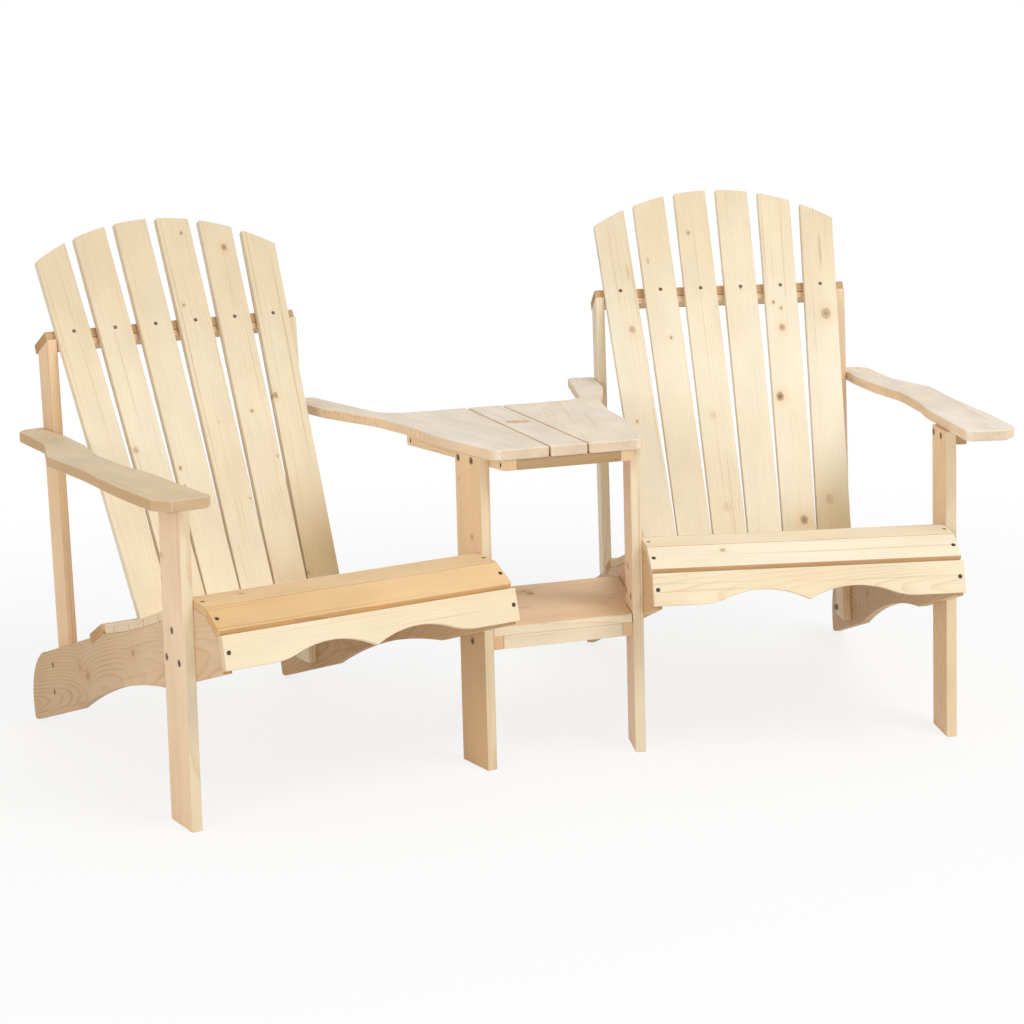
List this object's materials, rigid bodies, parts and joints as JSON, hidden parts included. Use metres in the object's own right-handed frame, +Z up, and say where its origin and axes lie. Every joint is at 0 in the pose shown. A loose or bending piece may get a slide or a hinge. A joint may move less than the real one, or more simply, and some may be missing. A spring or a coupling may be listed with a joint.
{
  "type": "companion seat bench",
  "caption": "Two slatted fan-back garden chairs toed in towards a shared table and lower shelf, both bored for a parasol pole, in pale unfinished pine.",
  "frame": {"origin": "on the ground under the middle of the bench's box", "axes": "+Z up, the chairs face -Y, X across both chairs and zero on the plane of symmetry through the parasol holes"},
  "size_m": [1.7544, 1.0241, 0.9561],
  "materials": {
    "pine_frame": "matte",
    "pine_slats": "matte",
    "pine_tops": "matte",
    "zinc_steel": "satin"
  },
  "bodies": {
    "root": {"outer_leg_left": "pine_frame", "outer_leg_right": "pine_frame", "inner_leg_left": "pine_frame", "inner_leg_right": "pine_frame", "outer_rail_left": "pine_frame", "outer_rail_right": "pine_frame", "inner_rail_left": "pine_frame", "inner_rail_right": "pine_frame", "outer_post_left": "pine_frame", "outer_post_right": "pine_frame", "inner_post_left": "pine_frame", "inner_post_right": "pine_frame", "upper_back_support_left": "pine_frame", "upper_back_support_right": "pine_frame", "lower_back_support_left": "pine_frame", "lower_back_support_right": "pine_frame", "upper_back_batten_left": "pine_frame", "upper_back_batten_right": "pine_frame", "back_slat_left_1": "pine_slats", "back_slat_left_2": "pine_slats", "back_slat_left_3": "pine_slats", "back_slat_left_4": "pine_slats", "back_slat_left_5": "pine_slats", "back_slat_left_6": "pine_slats", "back_slat_right_1": "pine_slats", "back_slat_right_2": "pine_slats", "back_slat_right_3": "pine_slats", "back_slat_right_4": "pine_slats", "back_slat_right_5": "pine_slats", "back_slat_right_6": "pine_slats", "seat_slats_left": "pine_slats", "seat_slats_right": "pine_slats", "brow_slat_left": "pine_slats", "brow_slat_right": "pine_slats", "nose_slat_left": "pine_slats", "nose_slat_right": "pine_slats", "apron_left": "pine_slats", "apron_right": "pine_slats", "arm_left": "pine_tops", "arm_right": "pine_tops", "arm_batten_left": "pine_frame", "arm_batten_right": "pine_frame", "table_board_left": "pine_tops", "table_board_right": "pine_tops", "table_board_centre": "pine_tops", "table_batten_left": "pine_frame", "table_batten_right": "pine_frame", "table_front_strip": "pine_frame", "table_rear_strip": "pine_frame", "shelf": "pine_tops", "shelf_batten_left": "pine_frame", "shelf_batten_right": "pine_frame", "shelf_front_strip": "pine_frame", "shelf_rear_strip": "pine_frame", "frame_bolts_left": "zinc_steel", "frame_bolts_right": "zinc_steel", "wood_screws_left": "zinc_steel", "wood_screws_right": "zinc_steel", "table_screws": "zinc_steel"}
  },
  "joints": []
}
